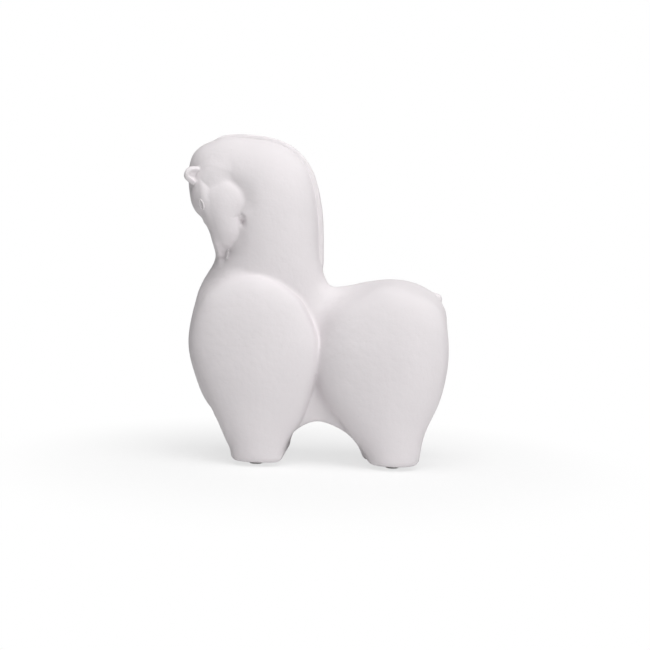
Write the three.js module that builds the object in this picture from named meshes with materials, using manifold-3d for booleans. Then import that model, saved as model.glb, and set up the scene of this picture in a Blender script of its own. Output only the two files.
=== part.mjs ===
// Ceramic horse figurine: a stout horse with its chin tucked on its chest, cast hollow in two half shells.
// Millimetres. +Z is up, the head points to -X, the horse's left side is -Y, and the pads stand on Z = 0.
// The body is a blend of crowned masses. Each mass has a closed outline in the side view (X, Z) and swells
// to its half depth in the middle, as a clay cushion does. The blend is turned into a mesh once, hollowed,
// and split on the middle plane into the two shells. Mane, ears and tail are rolled clay seated on its skin.

import * as THREE from 'three';
import { mergeVertices } from 'three/addons/utils/BufferGeometryUtils.js';
import Module from 'manifold-3d';

// Driving dimensions: the shell
const wallThickness = 6;
const seatGap = 0.35;
const ventDiameter = 8;
const bodyWidth = 94;
const trunkDepth = 66;
const neckDepth = 57;
const headDepth = 58;
const breastDepth = 60;

// Driving dimensions: feet and legs, places along X and heights above the floor
const padDiameter = 10;
const padThickness = 3;
const padTaper = 0.8;
const frontPadX = -39.5;
const frontFootX = -37.7;
const frontFootLength = 42;
const shoulderLength = 91;
const shoulderTop = 142;
const shoulderDepth = 46;
const rearFootX = 63.5;
const rearFootLength = 40.5;
const haunchLength = 99.5;
const haunchTop = 136;
const haunchDepth = 50;
const footEdgeRadius = 5;
const footTrim = 0.4;

// Driving dimensions: arch under the belly and split between the left and right legs
const archX = 6;
const archTop = 33.3;
const archFrontReach = 26;
const archRearReach = 38;
const legSplitWidth = 13;
const legSplitHeight = 28;

// Driving dimensions: trunk, breast, neck and crest
const chestX = -95.2;
const chestHeight = 88;
const breastReach = 50;
const backHeight = 135.5;
const rumpTop = 140;
const rumpX = 102;
const crestTop = 250;
const crestTopX = -55;
const crestRear = 5.4;
const pollX = -85;
const throatX = -57;
const throatDepth = 26;
const throatSpread = 56;

// Driving dimensions: head, measured along its own axis from the poll down to the muzzle
const headStartX = -84;
const headStartZ = 232;
const headTilt = 12.9;
const headLength = 73;
const cheekReach = 29;
const faceReach = 19.4;
const muzzleWidth = 22;
const browSink = 6;

// Driving dimensions: mane, ears and tail
const maneWidth = 8;
const maneProud = 3.4;
const maneDepth = 9;
const maneStart = 0.2;
const maneEnd = 0.98;
const maneRunOut = 0.1;
const earLength = 11.5;
const earWidth = 14;
const earThickness = 7;
const earX = -90.5;
const earHeight = 215.8;
const earSplay = 36;
const earRootDepth = 1.6;
const tailTopX = 82.5;
const tailTopZ = 132;
const tailTipX = 93;
const tailTipZ = 127.4;
const tailTopRadius = 3;
const tailTipRadius = 4.6;

// How softly the masses run into each other, and over which heights or lengths a joint changes its size
const neckFillet = 10;
const throatFillet = 8;
const breastFillet = 5;
const jawFillet = 2;
const pollFillet = 20;
const pollFrom = 216;
const pollTo = 244;
const browTo = 258;
const pollSlant = 0.9;
const haunchFillet = 4;
const rumpFillet = 20;
const rumpFrom = 92;
const rumpTo = 130;
const shoulderFillet = 3;
const chestFillet = 12;
const chestFrom = 42;
const chestTo = 70;
const splitFillet = 3;
const archFillet = 2.5;
const earFillet = 1.2;

// How square the masses are across the body: 2 is an ellipse
const roundMass = 2;
const breastSquareness = 2.3;
const headSquareness = 3;
const shoulderSquareness = 3.1;
const haunchSquareness = 2.4;

// How finely the skin is divided: a coarse step for the body, a fine one for the head
const coarseStep = 7.4;
const fineStep = 4.3;
const hollowStep = 11;
const smallStep = 1.7;
const mapStep = 1;
const smallMapStep = 0.4;
const mapMargin = 24;

const wasm = await Module();
wasm.setup();

// Outlines

// Closed smooth curve through points in the side view, as a list of short straight edges.
function smoothOutline(points, edgesPerSpan = 6) {
  const corners = points.map(([x, z]) => new THREE.Vector3(x, z, 0));
  const curve = new THREE.CatmullRomCurve3(corners, true, 'catmullrom', 0.5);
  const samples = curve.getPoints(points.length * edgesPerSpan);
  samples.pop();
  return samples.map((p) => [p.x, p.y]);
}

// Outline of a spindle, drawn from stations [along, reach to one side, reach to the other]
// between a start tip and an end tip. `place` turns (along, across) into a point (x, z).
function spindle(startTip, stations, endTip, place) {
  const near = stations.map(([along, one]) => place(along, one));
  const far = stations.map(([along, , other]) => place(along, other)).reverse();
  const start = startTip ? [place(...startTip)] : [];
  const end = endTip ? [place(...endTip)] : [];
  return [...start, ...near, ...end, ...far];
}

// A leg runs from below the floor, where its foot is cut square later, up to its rounded top.
function legOutline(footX, footLength, swellLength, top, rows) {
  const foot = footLength / 2;
  const swell = swellLength / 2;
  const below = -top * 0.1;
  const stations = [
    [below, -foot * 0.88, foot * 0.88],
    [top * 0.06, -foot, foot],
    ...rows.map(([share, front, rear]) => [top * share, front * swell, rear * swell]),
  ];
  const crown = [top, rows[rows.length - 1][1] * swell * 0.2];
  return spindle([below * 1.6, 0], stations, crown, (height, across) => [footX + across, height]);
}

const shoulderOutline = legOutline(frontFootX, frontFootLength, shoulderLength, shoulderTop, [
  [0.14, -0.57, 0.53],
  [0.29, -0.78, 0.77],
  [0.59, -1.15, 0.97],
  [0.82, -1.05, 0.74],
  [0.94, -0.76, 0.38],
]);

const haunchOutline = legOutline(rearFootX, rearFootLength, haunchLength, haunchTop, [
  [0.20, -0.71, 0.48],
  [0.40, -1.11, 0.70],
  [0.62, -1.20, 0.795],
  [0.82, -0.96, 0.72],
  [0.94, -0.55, 0.44],
]);

// The trunk lies along X. Its underside runs below the floor, so that the arch and the split between the
// legs are cut out of full clay.
const trunkDip = -18;
const underside = [
  [chestX + 8, chestHeight - 33],
  [chestX + 19, chestHeight - 52],
  [chestX + 30, 20],
  [frontPadX - 14, -2],
  [frontPadX, trunkDip],
  [archX, trunkDip - 4],
  [rearFootX, trunkDip],
  [rearFootX + 13, 0],
  [rumpX - 19, 24],
  [rumpX - 11, rumpTop - 100],
  [rumpX - 3, rumpTop - 82],
];
const topline = [
  [rumpX - 3, rumpTop - 26],
  [rumpX - 9.5, rumpTop - 12],
  [rumpX - 22, rumpTop - 3.5],
  [rearFootX, rumpTop],
  [rearFootX - 22, rumpTop - 1.5],
  [crestRear + 18, backHeight],
  [crestRear + 5, backHeight + 0.8],
  [crestRear - 7, backHeight + 17],
  [crestRear - 25, backHeight + 34],
  [frontPadX, chestHeight + 84],
  [chestX + 31, chestHeight + 78],
  [chestX + 15, chestHeight + 59],
  [chestX + 4.5, chestHeight + 36],
];
const trunkOutline = [[chestX, chestHeight], ...underside, [rumpX, rumpTop - 52], ...topline];

// The breast fills the blunt front between the shoulders.
const breastOutline = [
  [chestX, chestHeight],
  [chestX + 8.5, chestHeight - 32],
  [chestX + 21, chestHeight - 49],
  [chestX + breastReach - 8, chestHeight - 46],
  [chestX + breastReach + 4, chestHeight],
  [chestX + breastReach, chestHeight + 34],
  [chestX + 30, chestHeight + 46],
  [chestX + 14, chestHeight + 46],
  [chestX + 4.5, chestHeight + 33],
];

// Goes smoothly from 0 to 1 as a value passes from low to high.
const eased = THREE.MathUtils.smoothstep;

// Crest: the outer line of the mane from the poll, over the top and down to the withers.
const crestPoints = [
  [pollX, crestTop - 7.2],
  [pollX + 13, crestTop - 1.6],
  [crestTopX, crestTop],
  [crestTopX + 20, crestTop - 2.8],
  [crestRear - 25, crestTop - 10.5],
  [crestRear - 13.5, crestTop - 23.5],
  [crestRear - 6, crestTop - 40],
  [crestRear - 1.6, crestTop - 63],
  [crestRear, crestTop - 92],
  [crestRear + 0.2, backHeight + 4],
];

function openCurve(points, count) {
  const corners = points.map(([x, z]) => new THREE.Vector3(x, z, 0));
  const curve = new THREE.CatmullRomCurve3(corners, false, 'catmullrom', 0.5);
  return curve.getPoints(count).map((p) => [p.x, p.y]);
}

// The same line moved inwards by a depth, which may change along it.
function inwards(line, depthAt) {
  return line.map(([x, z], i) => {
    const [ax, az] = line[Math.max(i - 1, 0)];
    const [bx, bz] = line[Math.min(i + 1, line.length - 1)];
    const length = Math.hypot(bx - ax, bz - az);
    const depth = depthAt(i / (line.length - 1));
    return [x + (bz - az) / length * depth, z - (bx - ax) / length * depth];
  });
}

// The clay under the mane lies lower than the crest line, and rises to it at the poll.
const neckInset = (s) => maneProud * eased(s, 0, 1 / 3);
const neckCrest = inwards(openCurve(crestPoints, 9), neckInset);
const neckOutline = [
  ...neckCrest,
  [crestRear - 5, backHeight - 12],
  [crestRear - 23, backHeight - 33],
  [throatX - 3, backHeight - 33],
  [chestX + 10, chestHeight + 34],
  [chestX + 15, chestHeight + 53],
  [throatX - 10.5, chestHeight + 68],
  [throatX - 12, chestHeight + 80],
  [throatX - 15, chestHeight + 92],
  [throatX - 20, chestHeight + 104],
  [pollX - 3, crestTop - 48],
  [pollX - 11, crestTop - 41],
  [pollX - 14.5, crestTop - 30],
  [pollX - 12.5, crestTop - 18],
  [pollX - 7, crestTop - 11],
];

const tilt = THREE.MathUtils.degToRad(headTilt);

// A point on the head: a distance down its axis from the poll, and a reach across, plus towards the throat.
function onHead(along, across) {
  const x = headStartX + along * Math.sin(tilt) + across * Math.cos(tilt);
  const z = headStartZ - along * Math.cos(tilt) + across * Math.sin(tilt);
  return [x, z];
}

const headOutline = spindle([0.12 * headLength, 0], [
  [0.17 * headLength, -0.48 * faceReach, 0.34 * cheekReach],
  [0.24 * headLength, -0.80 * faceReach, 0.64 * cheekReach],
  [0.35 * headLength, -faceReach, 0.88 * cheekReach],
  [0.44 * headLength, -0.93 * faceReach, 0.985 * cheekReach],
  [0.535 * headLength, -0.83 * faceReach, cheekReach],
  [0.62 * headLength, -0.70 * faceReach, 0.90 * cheekReach],
  [0.685 * headLength, -0.61 * faceReach, 0.74 * cheekReach],
  [0.77 * headLength, -0.45 * muzzleWidth, 0.78 * muzzleWidth],
  [0.89 * headLength, -0.34 * muzzleWidth, 0.64 * muzzleWidth],
  [0.96 * headLength, -0.18 * muzzleWidth, 0.42 * muzzleWidth],
], [headLength, 0.10 * muzzleWidth], onHead);

// The hollow of the throat behind the muzzle, on each side of the neck.
const throatOutline = [
  [throatX - 18, chestHeight + 102],
  [throatX - 9, chestHeight + 105],
  [throatX - 1, chestHeight + 102],
  [throatX + 3, chestHeight + 96],
  [throatX + 3, chestHeight + 89],
  [throatX - 1, chestHeight + 82],
  [throatX - 8, chestHeight + 76],
  [throatX - 17, chestHeight + 78],
  [throatX - 20, chestHeight + 90],
];

const archOutline = [
  [archX - archFrontReach, -14],
  [archX - archFrontReach * 0.96, archTop * 0.12],
  [archX - archFrontReach * 0.865, archTop * 0.45],
  [archX - archFrontReach * 0.61, archTop * 0.78],
  [archX, archTop],
  [archX + archRearReach * 0.47, archTop * 0.82],
  [archX + archRearReach * 0.77, archTop * 0.52],
  [archX + archRearReach * 0.92, archTop * 0.18],
  [archX + archRearReach * 1.10, -14],
];

// Crowned masses

// Smooth depth inside a closed outline. Near the edge it is the distance to the edge, and towards the
// middle it levels off into one soft crown. It is negative outside.
function depthInside(outline, x, z) {
  let total = 0;
  let [ax, az] = outline[outline.length - 1];
  ax -= x;
  az -= z;
  let ar = Math.hypot(ax, az) + 1e-9;
  for (const [px, pz] of outline) {
    const bx = px - x;
    const bz = pz - z;
    const br = Math.hypot(bx, bz) + 1e-9;
    const halfAngle = (ax * bz - az * bx) / (ar * br + ax * bx + az * bz + 1e-9);
    total += halfAngle * (1 / ar + 1 / br);
    ax = bx;
    az = bz;
    ar = br;
  }
  const depth = Math.abs(total) < 1e-6 ? -1e6 : 2 / total;
  return THREE.MathUtils.clamp(depth, -60, 60);
}

function counterClockwise(outline) {
  const area = THREE.ShapeUtils.area(outline.map(([x, z]) => new THREE.Vector2(x, z)));
  return area < 0 ? outline.slice().reverse() : outline;
}

// A mass, or a pair of them set apart across the body. Its depth is worked out once on a grid over the
// side view and read between the grid's points afterwards.
class Mass {
  constructor(points, depth, { spread = 0, flatness = roundMass, step = mapStep } = {}) {
    this.outline = counterClockwise(smoothOutline(points));
    this.halfDepth = depth / 2;
    this.centre = spread / 2;
    this.flatness = flatness;
    this.step = step;
    this.box = new THREE.Box2().setFromPoints(this.outline.map(([x, z]) => new THREE.Vector2(x, z)));
    this.box.expandByScalar(mapMargin);
    this.columns = Math.ceil((this.box.max.x - this.box.min.x) / step) + 1;
    this.rows = Math.ceil((this.box.max.y - this.box.min.y) / step) + 1;
    this.map = new Float64Array(this.columns * this.rows);
    this.deepest = 0;
    for (let row = 0; row < this.rows; row++) {
      for (let column = 0; column < this.columns; column++) {
        const x = this.box.min.x + column * step;
        const z = this.box.min.y + row * step;
        const depthHere = depthInside(this.outline, x, z);
        this.map[row * this.columns + column] = depthHere;
        this.deepest = Math.max(this.deepest, depthHere);
      }
    }
  }

  // Depth and slope of the depth at a point of the side view.
  read(x, z) {
    const c = THREE.MathUtils.clamp((x - this.box.min.x) / this.step, 0, this.columns - 1.001);
    const r = THREE.MathUtils.clamp((z - this.box.min.y) / this.step, 0, this.rows - 1.001);
    const column = Math.floor(c);
    const row = Math.floor(r);
    const u = c - column;
    const v = r - row;
    const at = row * this.columns + column;
    const a = this.map[at];
    const b = this.map[at + 1];
    const d = this.map[at + this.columns];
    const e = this.map[at + this.columns + 1];
    const depth = (a * (1 - u) + b * u) * (1 - v) + (d * (1 - u) + e * u) * v;
    const slopeX = (b - a) * (1 - v) + (e - d) * v;
    const slopeZ = (d - a) * (1 - u) + (e - b) * u;
    return [depth, Math.hypot(slopeX, slopeZ) / this.step];
  }

  // Distance to the mass's skin, near enough: negative inside.
  distance(x, y, z) {
    const [depth, slope] = this.read(x, z);
    const across = Math.abs(Math.abs(y) - this.centre) / this.halfDepth;
    const full = across ** this.flatness - depth / this.deepest;
    const steepY = this.flatness * across ** (this.flatness - 1) / this.halfDepth;
    const steepPlan = THREE.MathUtils.clamp(slope, 0.05, 1.5) / this.deepest;
    return full / Math.hypot(steepY, steepPlan);
  }
}

// Union and cut with a rounded joint of the given size.
function blend(a, b, size) {
  const near = Math.max(size - Math.abs(a - b), 0) / size;
  return Math.min(a, b) - near * near * size / 4;
}

function carve(a, b, size) {
  return -blend(-a, -b, size);
}

const shoulderSpread = bodyWidth - shoulderDepth;
const haunchSpread = bodyWidth - haunchDepth;
const trunk = new Mass(trunkOutline, trunkDepth);
const breast = new Mass(breastOutline, breastDepth, { flatness: breastSquareness });
const neck = new Mass(neckOutline, neckDepth);
const throat = new Mass(throatOutline, throatDepth, { spread: throatSpread });
const head = new Mass(headOutline, headDepth, { flatness: headSquareness });
const shoulder = new Mass(shoulderOutline, shoulderDepth, {
  spread: shoulderSpread,
  flatness: shoulderSquareness,
});
const haunch = new Mass(haunchOutline, haunchDepth, {
  spread: haunchSpread,
  flatness: haunchSquareness,
});
const arch = new Mass(archOutline, trunkDepth);

// The joint of one mass with the next grows from one fillet size to another along a measure.
function growing(from, to, measure, start, end) {
  return from + (to - from) * eased(measure, start, end);
}

// Distance to the skin of the whole body, negative inside the clay. The head sinks into the neck towards
// the poll, the haunch runs softly into the rump, and the shoulder into the chest.
function bodyDistance(x, y, z) {
  const throatSide = carve(neck.distance(x, y, z), -throat.distance(x, y, z), throatFillet);
  let d = blend(trunk.distance(x, y, z), throatSide, neckFillet);
  d = blend(d, breast.distance(x, y, z), breastFillet);
  const brow = z - pollSlant * (x - throatX);
  const face = head.distance(x, y, z) + growing(0, browSink, brow, pollFrom, browTo);
  d = blend(d, face, growing(jawFillet, pollFillet, brow, pollFrom, pollTo));
  d = blend(d, haunch.distance(x, y, z), growing(haunchFillet, rumpFillet, z, rumpFrom, rumpTo));
  d = blend(d, shoulder.distance(x, y, z), growing(shoulderFillet, chestFillet, -x, chestFrom, chestTo));
  const splitRadius = legSplitWidth / 2;
  const split = Math.hypot(y, Math.max(z - legSplitHeight + splitRadius, 0)) - splitRadius;
  d = carve(d, -split, splitFillet);
  d = carve(d, arch.read(x, z)[0], archFillet);
  return carve(d, padThickness - footTrim - z, footEdgeRadius);
}

// Skins

// Ticks along an axis: fine inside the given bands and coarse elsewhere.
function ticks(from, to, step, bands = []) {
  const list = [from];
  while (list[list.length - 1] < to) {
    const last = list[list.length - 1];
    const fine = bands.some(([low, high]) => last >= low && last < high);
    list.push(last + (fine ? fineStep : step));
  }
  return list;
}

function evenTicks(reach, step) {
  const count = Math.ceil(reach / step);
  return Array.from({ length: count * 2 + 1 }, (_, i) => (i - count) * step);
}

// Corners of a cell are [0 or 1] along each axis, and an edge is named by its axis and where it lies.
const cellCorners = Array.from({ length: 8 }, (_, n) => [n & 1, (n >> 1) & 1, n >> 2]);
const edgeName = (axis, at) => axis * 4 + at[(axis + 1) % 3] + 2 * at[(axis + 2) % 3];

// Edges of the cell that the surface crosses, gathered into the separate sheets that pass through it.
function sheetsInCell(isInside) {
  const group = new Array(12).fill(-1);
  for (const at of cellCorners) {
    for (let axis = 0; axis < 3; axis++) {
      if (at[axis]) continue;
      const to = at.slice();
      to[axis] = 1;
      if (isInside(at) !== isInside(to)) group[edgeName(axis, at)] = edgeName(axis, at);
    }
  }
  const join = (a, b) => {
    const [from, to] = [group[a], group[b]];
    for (let n = 0; n < 12; n++) if (group[n] === from) group[n] = to;
  };
  for (let axis = 0; axis < 3; axis++) {
    const [one, two] = [(axis + 1) % 3, (axis + 2) % 3];
    for (const side of [0, 1]) {
      const face = cellCorners.filter((at) => at[axis] === side);
      const edges = [...new Set(face.flatMap((at) => [edgeName(one, at), edgeName(two, at)]))];
      const crossed = edges.filter((edge) => group[edge] >= 0);
      if (crossed.length === 2) join(...crossed);
      if (crossed.length < 4) continue;
      for (const at of face.filter(isInside)) join(edgeName(one, at), edgeName(two, at));
    }
  }
  return group;
}

// Closed mesh of the surface where `distance` is zero: one vertex for each sheet through each cell.
function skin(distance, xs, ys, zs) {
  const axes = [xs, ys, zs];
  const [nx, ny, nz] = axes.map((axis) => axis.length);
  const corner = ([i, j, k]) => (k * ny + j) * nx + i;
  const values = new Float64Array(nx * ny * nz);
  const everyCell = function* everyCell(end) {
    for (let k = 0; k < nz - end; k++) {
      for (let j = 0; j < ny - end; j++) {
        for (let i = 0; i < nx - end; i++) yield [i, j, k];
      }
    }
  };
  for (const [i, j, k] of everyCell(0)) values[corner([i, j, k])] = distance(xs[i], ys[j], zs[k]);
  const vertexOf = new Int32Array(nx * ny * nz * 12).fill(-1);
  const points = [];
  for (const cell of everyCell(1)) {
    const valueAt = (at) => values[corner(cell.map((n, axis) => n + at[axis]))];
    const count = cellCorners.filter((at) => valueAt(at) < 0).length;
    if (count === 0 || count === 8) continue;
    const group = sheetsInCell((at) => valueAt(at) < 0);
    for (const sheet of new Set(group.filter((g) => g >= 0))) {
      const start = meanCrossing(group, sheet, cell, valueAt, axes);
      for (let n = 0; n < 12; n++) if (group[n] === sheet) vertexOf[corner(cell) * 12 + n] = points.length;
      points.push(settle(distance, start, axes, cell));
    }
  }
  const faces = [];
  for (const at of everyCell(1)) {
    for (let axis = 0; axis < 3; axis++) {
      const next = at.slice();
      next[axis] += 1;
      const inside = values[corner(at)] < 0;
      if (inside === values[corner(next)] < 0) continue;
      const [one, two] = [(axis + 1) % 3, (axis + 2) % 3];
      const [p, q, r, s] = [[1, 1], [0, 1], [0, 0], [1, 0]].map(([u, v]) => {
        const cell = at.slice();
        cell[one] -= u;
        cell[two] -= v;
        return vertexOf[corner(cell) * 12 + axis * 4 + u + 2 * v];
      });
      const short = points[p].distanceTo(points[r]) <= points[q].distanceTo(points[s]);
      const pair = short ? [[p, q, r], [p, r, s]] : [[p, q, s], [q, r, s]];
      for (const [u, v, w] of pair) faces.push(...(inside ? [u, v, w] : [u, w, v]));
    }
  }
  const geometry = new THREE.BufferGeometry().setFromPoints(points);
  geometry.setIndex(faces);
  return geometry;
}

// Mean of the points where one sheet crosses the cell's edges.
function meanCrossing(group, sheet, cell, valueAt, axes) {
  const sum = new THREE.Vector3();
  let crossings = 0;
  for (const at of cellCorners) {
    for (let axis = 0; axis < 3; axis++) {
      if (at[axis] || group[edgeName(axis, at)] !== sheet) continue;
      const to = at.slice();
      to[axis] = 1;
      const share = valueAt(at) / (valueAt(at) - valueAt(to));
      const place = (bits) => new THREE.Vector3(...axes.map((ticksOf, n) => ticksOf[cell[n] + bits[n]]));
      sum.add(place(at).lerp(place(to), share));
      crossings += 1;
    }
  }
  return sum.divideScalar(crossings);
}

function slopeOf(distance, p, reach = 0.4) {
  return new THREE.Vector3(
    distance(p.x + reach, p.y, p.z) - distance(p.x - reach, p.y, p.z),
    distance(p.x, p.y + reach, p.z) - distance(p.x, p.y - reach, p.z),
    distance(p.x, p.y, p.z + reach) - distance(p.x, p.y, p.z - reach),
  ).divideScalar(2 * reach);
}

// Moves a vertex down the slope onto the skin, but never out of its own cell.
function settle(distance, point, axes, cell) {
  const p = point.clone();
  for (let round = 0; round < 4; round++) {
    const slope = slopeOf(distance, p);
    const steep = Math.max(slope.lengthSq(), 0.2);
    p.addScaledVector(slope, -distance(p.x, p.y, p.z) / steep);
    const low = new THREE.Vector3(...axes.map((axis, a) => axis[cell[a]]));
    const high = new THREE.Vector3(...axes.map((axis, a) => axis[cell[a] + 1]));
    p.clamp(low, high);
  }
  return p;
}

function toSolid(geometry) {
  const bare = geometry.clone();
  bare.deleteAttribute('normal');
  bare.deleteAttribute('uv');
  const merged = mergeVertices(bare, 1e-4);
  const mesh = new wasm.Mesh({
    numProp: 3,
    vertProperties: new Float32Array(merged.attributes.position.array),
    triVerts: new Uint32Array(merged.index.array),
  });
  return new wasm.Manifold(mesh);
}

function toGeometry(solid) {
  const mesh = solid.getMesh();
  const geometry = new THREE.BufferGeometry();
  geometry.setAttribute('position', new THREE.BufferAttribute(new Float32Array(mesh.vertProperties), 3));
  geometry.setIndex(new THREE.BufferAttribute(new Uint32Array(mesh.triVerts), 1));
  geometry.computeVertexNormals();
  return geometry;
}

// Body shells

const bodyBox = new THREE.Box2();
for (const mass of [trunk, breast, neck, head, shoulder, haunch]) {
  for (const [x, z] of mass.outline) bodyBox.expandByPoint(new THREE.Vector2(x, z));
}
const margin = 9;
const halfWidth = bodyWidth / 2;

// The head's share of the grid gets the fine step.
const [cheekX] = onHead(0.535 * headLength, cheekReach);
const [, muzzleZ] = onHead(headLength, 0);
const headBandX = [bodyBox.min.x, cheekX + 4];
const headBandZ = [muzzleZ - 8, headStartZ];
const footBand = [-margin, padThickness + footEdgeRadius];
const bodyX = (step) => ticks(bodyBox.min.x - margin, bodyBox.max.x + margin, step, [headBandX]);
const bodyZ = (step) => ticks(-margin, bodyBox.max.y + margin, step, [headBandZ, footBand]);
const bodyY = (step) => evenTicks(halfWidth + margin, step);

function bodySkin(distance, step) {
  return toSolid(skin(distance, bodyX(step), bodyY(step * 0.85), bodyZ(step)));
}

function bodyShells() {
  const outside = bodySkin(bodyDistance, coarseStep);
  const inside = toSolid(skin(
    (x, y, z) => bodyDistance(x, y, z) + wallThickness,
    ticks(bodyBox.min.x - margin, bodyBox.max.x + margin, hollowStep),
    evenTicks(halfWidth + margin, hollowStep * 0.8),
    ticks(-margin, bodyBox.max.y + margin, hollowStep),
  ));
  const vent = new THREE.CylinderGeometry(ventDiameter / 2, ventDiameter / 2, wallThickness * 3, 16);
  vent.rotateX(Math.PI / 2);
  vent.translate(archX, 0, archTop + wallThickness / 2);
  const casting = outside.subtract(inside).subtract(toSolid(vent));
  const reach = 2 * crestTop;
  const side = new THREE.BoxGeometry(reach, reach, reach).translate(0, reach / 2, reach / 2 + padThickness);
  const right = casting.intersect(toSolid(side));
  const left = casting.intersect(toSolid(side.clone().translate(0, -reach, 0)));
  return [toGeometry(left), toGeometry(right)];
}

// The body grown by the seat gap, for cutting the underside of what is seated on it.
const grownBody = bodySkin((x, y, z) => bodyDistance(x, y, z) - seatGap, coarseStep);

// Mane

// A strip along the crest, rounded on its outer corners. At both ends it runs out towards the skin.
function maneStrip() {
  const wholeCrest = openCurve(crestPoints, 50);
  const from = Math.round(maneStart * wholeCrest.length);
  const line = wholeCrest.slice(from, Math.round(maneEnd * wholeCrest.length));
  const half = maneWidth / 2;
  const proudAt = (s) => neckInset(maneStart + (maneEnd - maneStart) * s);
  const runOut = (s) => Math.max(0, 1 - Math.min(s, 1 - s) / maneRunOut) ** 2;
  const outerDepth = (s) => 0.65 * proudAt(s) * runOut(s);
  const outer = inwards(line, outerDepth);
  const corner = inwards(line, (s) => outerDepth(s) + 0.35 * (proudAt(s) - outerDepth(s)));
  const inner = inwards(line, () => maneDepth);
  const rings = line.map((_, i) => [
    [outer[i], -half * 0.55],
    [outer[i], half * 0.55],
    [corner[i], half],
    [inner[i], half],
    [inner[i], -half],
    [corner[i], -half],
  ].map(([[x, z], y]) => new THREE.Vector3(x, y, z)));
  return loft(rings);
}

// Closed loft through rings with the same number of points, with flat ends.
function loft(rings) {
  const count = rings[0].length;
  const faces = [];
  for (let ring = 0; ring + 1 < rings.length; ring++) {
    for (let point = 0; point < count; point++) {
      const a = ring * count + point;
      const b = ring * count + (point + 1) % count;
      faces.push(a, b, b + count, a, b + count, a + count);
    }
  }
  const last = (rings.length - 1) * count;
  for (let point = 1; point + 1 < count; point++) {
    faces.push(0, point + 1, point, last, last + point, last + point + 1);
  }
  const geometry = new THREE.BufferGeometry().setFromPoints(rings.flat());
  geometry.setIndex(faces);
  return geometry;
}

function outward(geometry) {
  const solid = toSolid(geometry);
  if (solid.volume() > 0) return solid;
  const flipped = geometry.clone();
  const index = Array.from(geometry.index.array);
  for (let i = 0; i < index.length; i += 3) [index[i + 1], index[i + 2]] = [index[i + 2], index[i + 1]];
  flipped.setIndex(index);
  return toSolid(flipped);
}

// Half width of the body at a point of the side view, found by walking outwards to the skin.
function halfWidthAt(x, z) {
  let y = 0;
  for (let round = 0; round < 60; round++) y -= bodyDistance(x, y, z) * 0.7;
  return y;
}

// The piece of a cut solid that stands outside the body.
function largest(solid) {
  const pieces = solid.decompose();
  return pieces.reduce((best, piece) => (piece.volume() > best.volume() ? piece : best));
}

// A small clay piece with its own distance to the skin, meshed in its own box and cut free of the body.
function seated(distance, box) {
  const [xs, ys, zs] = ['x', 'y', 'z'].map((axis) => (
    ticks(box.min[axis] - smallStep, box.max[axis] + smallStep, smallStep)
  ));
  const geometry = skin(distance, xs, ys, zs);
  return toGeometry(largest(toSolid(geometry).subtract(grownBody)));
}

// Ears

// An ear is a pinched leaf of clay. It points forwards and outwards, its upper rim lies level, its lower rim
// runs down and back, and between the rims a hollow opens outwards and to the rear.
const earLeaf = new Mass([
  [-0.6 * earLength, 0.40 * earWidth],
  [0, 0.48 * earWidth],
  [0.40 * earLength, 0.48 * earWidth],
  [0.75 * earLength, 0.39 * earWidth],
  [0.97 * earLength, 0.14 * earWidth],
  [earLength, -0.08 * earWidth],
  [0.85 * earLength, -0.26 * earWidth],
  [0.50 * earLength, -0.43 * earWidth],
  [0.12 * earLength, -0.54 * earWidth],
  [-0.6 * earLength, -0.50 * earWidth],
], earThickness, { step: smallMapStep });

const earHollow = new Mass([
  [-0.50 * earLength, 0.20 * earWidth],
  [0.05 * earLength, 0.27 * earWidth],
  [0.45 * earLength, 0.25 * earWidth],
  [0.72 * earLength, 0.12 * earWidth],
  [0.75 * earLength, -0.04 * earWidth],
  [0.52 * earLength, -0.18 * earWidth],
  [0.18 * earLength, -0.31 * earWidth],
  [-0.50 * earLength, -0.34 * earWidth],
], earThickness, { step: smallMapStep });

function earDistance(side) {
  const splay = THREE.MathUtils.degToRad(earSplay);
  const rootY = halfWidthAt(earX, earHeight) - earRootDepth;
  return (x, y, z) => {
    const forward = earX - x;
    const outward = side * y - rootY;
    const along = forward * Math.cos(splay) + outward * Math.sin(splay);
    const open = outward * Math.cos(splay) - forward * Math.sin(splay);
    const leaf = earLeaf.distance(along, open, z - earHeight);
    return carve(leaf, -earHollow.distance(along, open - earThickness / 2, z - earHeight), earFillet);
  };
}

function ear(side) {
  const reach = earLength + earWidth;
  const rootY = side * halfWidthAt(earX, earHeight);
  const box = new THREE.Box3(
    new THREE.Vector3(earX - earLength, rootY - reach * 0.7, earHeight - earWidth * 0.6),
    new THREE.Vector3(earX + earLength * 0.7, rootY + reach * 0.7, earHeight + earWidth * 0.6),
  );
  return seated(earDistance(side), box);
}

// Tail

// A short drop of clay laid down the rear of the rump, thicker towards its blunt tip.
function tailDistance(x, y, z) {
  const way = new THREE.Vector3(tailTipX - tailTopX, 0, tailTipZ - tailTopZ);
  const from = new THREE.Vector3(x - tailTopX, y, z - tailTopZ);
  const share = THREE.MathUtils.clamp(from.dot(way) / way.lengthSq(), 0, 1);
  return from.addScaledVector(way, -share).length() - growing(tailTopRadius, tailTipRadius, share, 0, 1);
}

function tail() {
  const box = new THREE.Box3(
    new THREE.Vector3(tailTopX - tailTipRadius, -tailTipRadius, tailTipZ - tailTipRadius),
    new THREE.Vector3(tailTipX + tailTipRadius, tailTipRadius, tailTopZ + tailTipRadius),
  );
  return seated(tailDistance, box);
}

// Foot pads

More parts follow.
